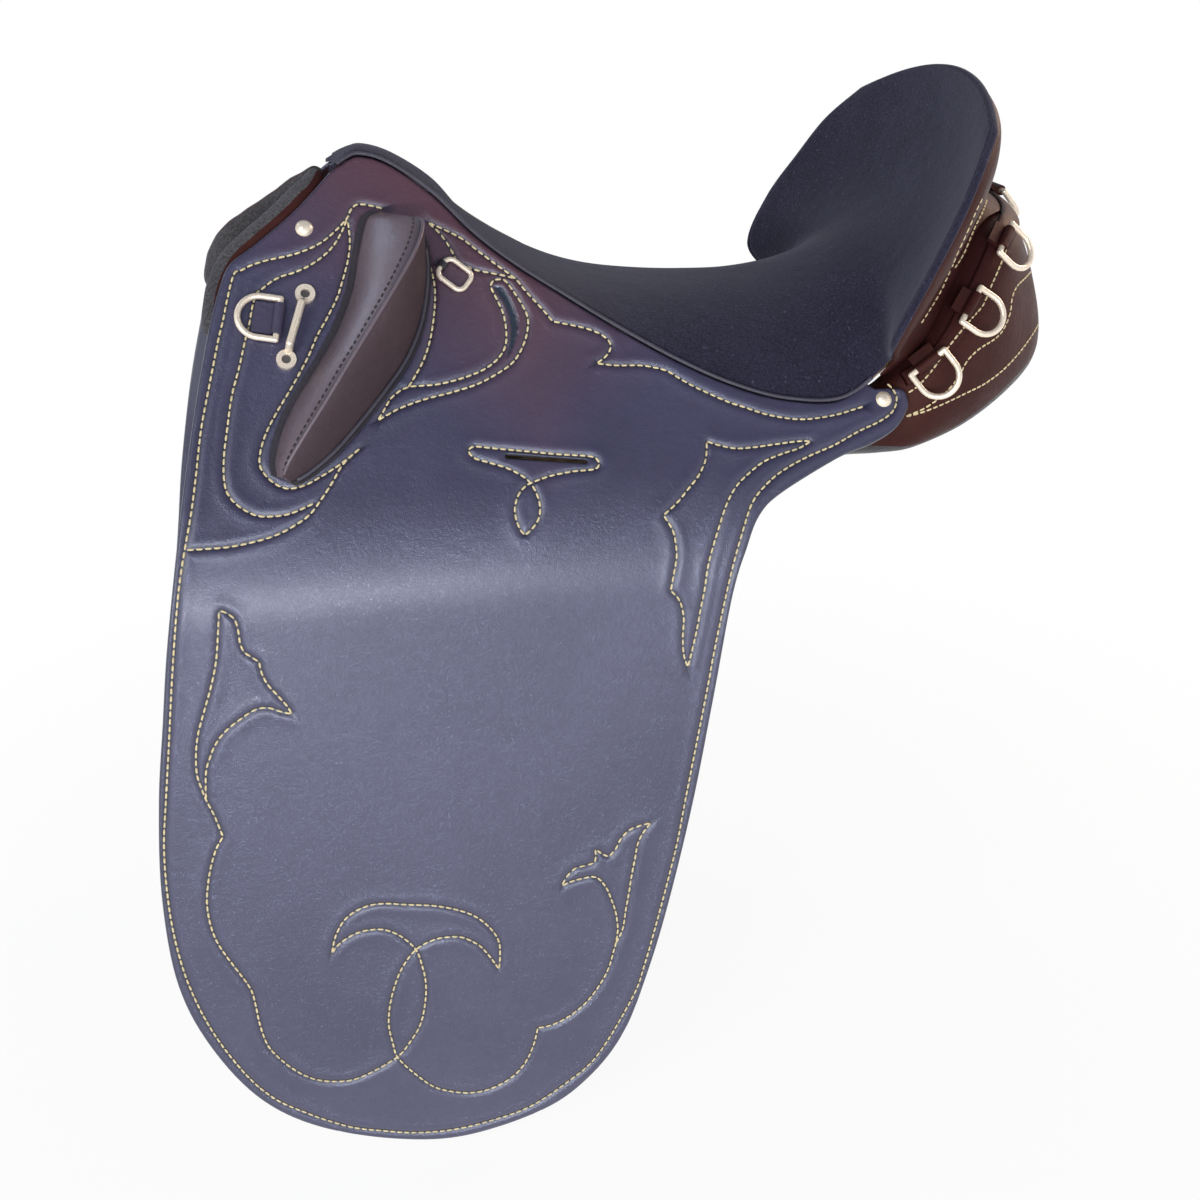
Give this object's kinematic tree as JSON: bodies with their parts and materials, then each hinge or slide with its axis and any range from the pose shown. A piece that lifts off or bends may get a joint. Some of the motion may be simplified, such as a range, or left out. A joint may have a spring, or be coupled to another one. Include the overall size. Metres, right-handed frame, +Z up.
{
  "type": "australian stock saddle",
  "caption": "Australian stock saddle: deep padded seat on a tree, leather skirts and lifting flaps, knee pads, stuffed panels, girth straps and brass dees for gear.",
  "frame": {"origin": "on the centre plane, at the height of the lowest point of the seat edge", "axes": "+X to the rear of the saddle, +Y to the off (right) side, +Z up; the near side with the pictured flap is -Y"},
  "size_m": [0.6683, 0.429, 0.7411],
  "materials": {
    "leather": "smooth dark brown bridle leather, soft sheen",
    "suede": "black suede with a fine nap",
    "tan_leather": "reddish brown leather",
    "felt": "dark grey felted serge",
    "wood": "plain laminated wood",
    "steel": "plain steel",
    "brass": "polished brass"
  },
  "bodies": {
    "saddle": {"tree_head": "wood", "tree_bar_left": "wood", "tree_bar_right": "wood", "tree_cantle": "wood", "gullet_plate": "steel", "stirrup_bar_left": "steel", "stirrup_bar_right": "steel", "stirrup_bar_rivets": "steel", "seat_web": "felt", "seat_foam": "felt", "seat_cover": "suede", "welt_left": "tan_leather", "welt_right": "tan_leather", "cantle_cover": "tan_leather", "rear_facing": "tan_leather", "rear_band": "tan_leather", "rear_chapes": "tan_leather", "skirt_left": "leather", "skirt_right": "leather", "panel_left": "felt", "panel_right": "felt", "front_roll_left": "felt", "front_roll_right": "felt", "knee_base_left": "leather", "knee_base_right": "leather", "knee_pad_left": "tan_leather", "knee_pad_right": "tan_leather", "front_chapes": "leather", "oval_keepers": "leather", "footman_loop_left": "brass", "footman_loop_right": "brass", "loop_screws": "brass", "dome_nails": "brass", "girth_rivets": "steel"},
    "flap_left": {"flap_left": "leather"},
    "flap_right": {"flap_right": "leather"},
    "rear_dee_left_low": {"rear_dee_left_low": "brass"},
    "rear_dee_right_low": {"rear_dee_right_low": "brass"},
    "rear_dee_left_mid": {"rear_dee_left_mid": "brass"},
    "rear_dee_right_mid": {"rear_dee_right_mid": "brass"},
    "rear_dee_left_high": {"rear_dee_left_high": "brass"},
    "rear_dee_right_high": {"rear_dee_right_high": "brass"},
    "rear_dee_centre": {"rear_dee_centre": "brass"},
    "front_dee_left": {"front_dee_left": "brass"},
    "front_dee_right": {"front_dee_right": "brass"},
    "oval_ring_left": {"oval_ring_left": "brass"},
    "oval_ring_right": {"oval_ring_right": "brass"},
    "stirrup_catch_left": {"stirrup_catch_left": "steel"},
    "stirrup_catch_right": {"stirrup_catch_right": "steel"},
    "girth_strap_left_front": {"girth_strap_left_front": "leather"},
    "girth_strap_right_front": {"girth_strap_right_front": "leather"},
    "girth_strap_left_rear": {"girth_strap_left_rear": "leather"},
    "girth_strap_right_rear": {"girth_strap_right_rear": "leather"}
  },
  "joints": [
    {"name": "flap_left_lift", "type": "hinge", "parent": "saddle", "child": "flap_left", "pos_m": [0, -0.17357, -0.08], "axis": [-1, 0, 0], "range_deg": [0, 80]},
    {"name": "flap_right_lift", "type": "hinge", "parent": "saddle", "child": "flap_right", "pos_m": [0, 0.17357, -0.08], "axis": [1, 0, 0], "range_deg": [0, 80]},
    {"name": "rear_dee_left_low_swing", "type": "hinge", "parent": "saddle", "child": "rear_dee_left_low", "pos_m": [0.20464, -0.12601, 0.02926], "axis": [-0.7602, 0.1265, -0.6373], "range_deg": [0, 115]},
    {"name": "rear_dee_right_low_swing", "type": "hinge", "parent": "saddle", "child": "rear_dee_right_low", "pos_m": [0.20464, 0.12601, 0.02926], "axis": [0.7602, 0.1265, 0.6373], "range_deg": [0, 115]},
    {"name": "rear_dee_left_mid_swing", "type": "hinge", "parent": "saddle", "child": "rear_dee_left_mid", "pos_m": [0.23793, -0.1156, 0.06553], "axis": [-0.588, -0.3627, -0.723], "range_deg": [0, 150]},
    {"name": "rear_dee_right_mid_swing", "type": "hinge", "parent": "saddle", "child": "rear_dee_right_mid", "pos_m": [0.23793, 0.1156, 0.06553], "axis": [0.588, -0.3627, 0.723], "range_deg": [0, 150]},
    {"name": "rear_dee_left_high_swing", "type": "hinge", "parent": "saddle", "child": "rear_dee_left_high", "pos_m": [0.27171, -0.08957, 0.10475], "axis": [-0.5623, -0.6094, -0.5589], "range_deg": [0, 150]},
    {"name": "rear_dee_right_high_swing", "type": "hinge", "parent": "saddle", "child": "rear_dee_right_high", "pos_m": [0.27171, 0.08957, 0.10475], "axis": [0.5623, -0.6094, 0.5589], "range_deg": [0, 150]},
    {"name": "rear_dee_centre_swing", "type": "hinge", "parent": "saddle", "child": "rear_dee_centre", "pos_m": [0.30514, 0, 0.12234], "axis": [0, -1, 0], "range_deg": [0, 150]},
    {"name": "front_dee_left_swing", "type": "hinge", "parent": "saddle", "child": "front_dee_left", "pos_m": [-0.2324, -0.08285, 0.07335], "axis": [0.2079, 0.5666, 0.7973], "range_deg": [0, 120]},
    {"name": "front_dee_right_swing", "type": "hinge", "parent": "saddle", "child": "front_dee_right", "pos_m": [-0.2324, 0.08285, 0.07335], "axis": [-0.2079, 0.5666, -0.7973], "range_deg": [0, 120]},
    {"name": "oval_ring_left_swing", "type": "hinge", "parent": "saddle", "child": "oval_ring_left", "pos_m": [-0.122, -0.06405, 0.09912], "axis": [-0.6561, -0.4372, -0.6152], "range_deg": [0, 110]},
    {"name": "oval_ring_right_swing", "type": "hinge", "parent": "saddle", "child": "oval_ring_right", "pos_m": [-0.122, 0.06405, 0.09912], "axis": [0.6561, -0.4372, 0.6152], "range_deg": [0, 110]},
    {"name": "stirrup_catch_left_close", "type": "hinge", "parent": "saddle", "child": "stirrup_catch_left", "pos_m": [-0.03808, -0.10434, 0.00886], "axis": [0, -0.5793, -0.8151], "range_deg": [0, 85]},
    {"name": "stirrup_catch_right_close", "type": "hinge", "parent": "saddle", "child": "stirrup_catch_right", "pos_m": [-0.03808, 0.10434, 0.00886], "axis": [0, -0.5793, 0.8151], "range_deg": [0, 85]},
    {"name": "girth_strap_left_front_swing", "type": "hinge", "parent": "saddle", "child": "girth_strap_left_front", "pos_m": [-0.134, -0.11837, -0.01428], "axis": [0, -0.8151, 0.5793], "range_deg": [-8, 8]},
    {"name": "girth_strap_right_front_swing", "type": "hinge", "parent": "saddle", "child": "girth_strap_right_front", "pos_m": [-0.134, 0.11837, -0.01428], "axis": [0, -0.8151, -0.5793], "range_deg": [-8, 8]},
    {"name": "girth_strap_left_rear_swing", "type": "hinge", "parent": "saddle", "child": "girth_strap_left_rear", "pos_m": [-0.014, -0.11837, -0.01428], "axis": [0, -0.8151, 0.5793], "range_deg": [-8, 8]},
    {"name": "girth_strap_right_rear_swing", "type": "hinge", "parent": "saddle", "child": "girth_strap_right_rear", "pos_m": [-0.014, 0.11837, -0.01428], "axis": [0, -0.8151, -0.5793], "range_deg": [-8, 8]}
  ]
}
